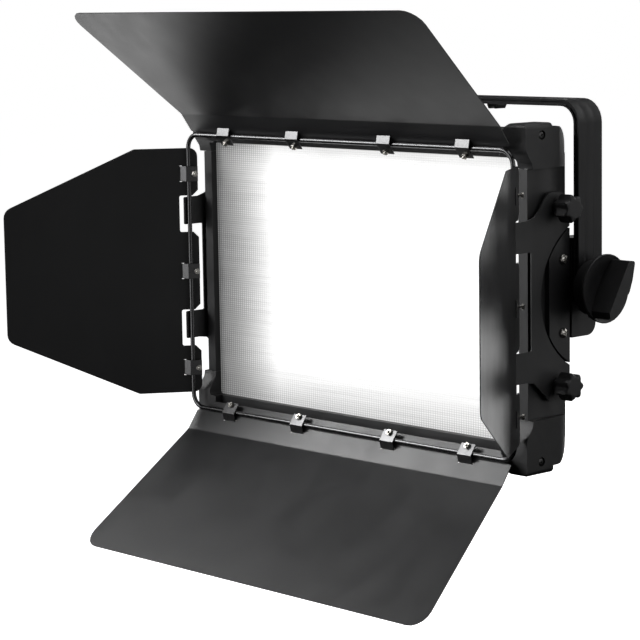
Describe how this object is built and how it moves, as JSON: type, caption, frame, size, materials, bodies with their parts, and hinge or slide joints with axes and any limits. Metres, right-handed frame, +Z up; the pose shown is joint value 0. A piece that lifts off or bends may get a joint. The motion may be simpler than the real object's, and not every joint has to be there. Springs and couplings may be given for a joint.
{
  "type": "led panel light",
  "caption": "Studio LED panel light with a frosted window, a barndoor of four folding leaves on a rod frame, star clamping knobs and a tilting U yoke.",
  "frame": {"origin": "middle of the yoke crossbar's top face, on the axis of its hanging hole", "axes": "+X to the right seen from the front, along the tilt axis; -Y is the way the light shines; +Z up"},
  "size_m": [0.7082, 0.3058, 0.5682],
  "materials": {
    "yoke_paint": "satin black powder coat on a grooved strip",
    "dull_steel": "dull plated steel",
    "knob_plastic": "fine-grained black moulding",
    "screw_steel": "blackened steel",
    "friction_fibre": "dull fibre",
    "housing_paint": "fine-textured satin black paint",
    "bracket_paint": "matt dark grey powder coat",
    "cap_plastic": "fine-grained black moulding",
    "screw_nickel": "nickel plated",
    "frosted_acrylic": "micro-prismatic frosted sheet, lit from behind",
    "circuit_board": "white solder mask",
    "fin_aluminium": "black anodised",
    "panel_print": "printed overlay",
    "display_glass": "clear over a dark display",
    "rear_knob_rubber": "soft-touch",
    "switch_plastic": "glossy black",
    "rod_steel": "satin black steel rod",
    "leaf_paint": "matt black powder coat on sheet",
    "spring_steel": "blackened spring steel"
  },
  "bodies": {
    "yoke": {"yoke": "yoke_paint", "safety_fitting": "dull_steel", "pivot_screw_left": "screw_steel", "friction_washer_left": "friction_fibre", "friction_washer_right": "friction_fibre"},
    "tilt_knob": {"tilt_knob": "knob_plastic"},
    "leaf_top": {"leaf_top": "leaf_paint", "clip_top_1": "spring_steel", "clip_top_2": "spring_steel", "clip_top_3": "spring_steel", "clip_top_4": "spring_steel"},
    "leaf_bottom": {"leaf_bottom": "leaf_paint", "clip_bottom_1": "spring_steel", "clip_bottom_2": "spring_steel", "clip_bottom_3": "spring_steel", "clip_bottom_4": "spring_steel"},
    "leaf_left": {"leaf_left": "leaf_paint", "clip_left_1": "spring_steel", "clip_left_2": "spring_steel", "clip_left_3": "spring_steel"},
    "leaf_right": {"leaf_right": "leaf_paint", "clip_right_1": "spring_steel", "clip_right_2": "spring_steel", "clip_right_3": "spring_steel"},
    "star_knob_upper_left": {"star_knob_upper_left": "knob_plastic"},
    "star_knob_upper_right": {"star_knob_upper_right": "knob_plastic"},
    "star_knob_lower_left": {"star_knob_lower_left": "knob_plastic"},
    "star_knob_lower_right": {"star_knob_lower_right": "knob_plastic"},
    "dimmer_knob": {"dimmer_knob": "rear_knob_rubber"},
    "colour_knob": {"colour_knob": "rear_knob_rubber"},
    "power_switch": {"power_switch": "switch_plastic"},
    "housing": {"pivot_block_left": "housing_paint", "pivot_block_right": "housing_paint", "side_rail_left": "housing_paint", "side_rail_right": "housing_paint", "side_plate_left": "housing_paint", "side_plate_right": "housing_paint", "top_rail": "housing_paint", "bottom_rail": "housing_paint", "back_cover": "housing_paint", "control_box": "housing_paint", "bracket_left": "bracket_paint", "bracket_right": "bracket_paint", "corner_cap_upper_left": "cap_plastic", "corner_cap_upper_right": "cap_plastic", "corner_cap_lower_left": "cap_plastic", "corner_cap_lower_right": "cap_plastic", "plate_screw_upper_left": "screw_nickel", "plate_screw_upper_right": "screw_nickel", "plate_screw_lower_left": "screw_nickel", "plate_screw_lower_right": "screw_nickel", "diffuser": "frosted_acrylic", "led_board": "circuit_board", "heat_sink": "fin_aluminium", "control_panel": "panel_print", "display_window": "display_glass", "power_inlet": "switch_plastic", "rod_frame": "rod_steel"}
  },
  "joints": [
    {"name": "tilt", "type": "hinge", "parent": "yoke", "child": "housing", "pos_m": [0, 0, -0.183], "axis": [1, 0, 0], "range_deg": [-3, 90]},
    {"name": "tilt_knob_turn", "type": "hinge", "parent": "yoke", "child": "tilt_knob", "pos_m": [0.27, 0, -0.183], "axis": [1, 0, 0], "continuous": true},
    {"name": "leaf_top_fold", "type": "hinge", "parent": "housing", "child": "leaf_top", "pos_m": [0, -0.094, -0.045], "axis": [-1, 0, 0], "range_deg": [-115, 40]},
    {"name": "leaf_bottom_fold", "type": "hinge", "parent": "housing", "child": "leaf_bottom", "pos_m": [0, -0.094, -0.345], "axis": [1, 0, 0], "range_deg": [-102, 40]},
    {"name": "leaf_left_fold", "type": "hinge", "parent": "housing", "child": "leaf_left", "pos_m": [-0.24, -0.094, -0.195], "axis": [0, 0, -1], "range_deg": [-118, 50]},
    {"name": "leaf_right_fold", "type": "hinge", "parent": "housing", "child": "leaf_right", "pos_m": [0.24, -0.094, -0.195], "axis": [0, 0, 1], "range_deg": [-118, 50]},
    {"name": "star_knob_upper_left_turn", "type": "hinge", "parent": "housing", "child": "star_knob_upper_left", "pos_m": [-0.259, -0.037, -0.103], "axis": [-1, 0, 0], "continuous": true},
    {"name": "star_knob_upper_right_turn", "type": "hinge", "parent": "housing", "child": "star_knob_upper_right", "pos_m": [0.259, -0.037, -0.103], "axis": [1, 0, 0], "continuous": true},
    {"name": "star_knob_lower_left_turn", "type": "hinge", "parent": "housing", "child": "star_knob_lower_left", "pos_m": [-0.259, -0.037, -0.276], "axis": [-1, 0, 0], "continuous": true},
    {"name": "star_knob_lower_right_turn", "type": "hinge", "parent": "housing", "child": "star_knob_lower_right", "pos_m": [0.259, -0.037, -0.276], "axis": [1, 0, 0], "continuous": true},
    {"name": "dimmer_turn", "type": "hinge", "parent": "housing", "child": "dimmer_knob", "pos_m": [0.032, 0.036, -0.239], "axis": [0, 1, 0], "continuous": true},
    {"name": "colour_turn", "type": "hinge", "parent": "housing", "child": "colour_knob", "pos_m": [0.086, 0.036, -0.239], "axis": [0, 1, 0], "continuous": true},
    {"name": "power_rock", "type": "hinge", "parent": "housing", "child": "power_switch", "pos_m": [-0.096, 0.022, -0.239], "axis": [1, 0, 0], "range_deg": [0, 16]}
  ]
}
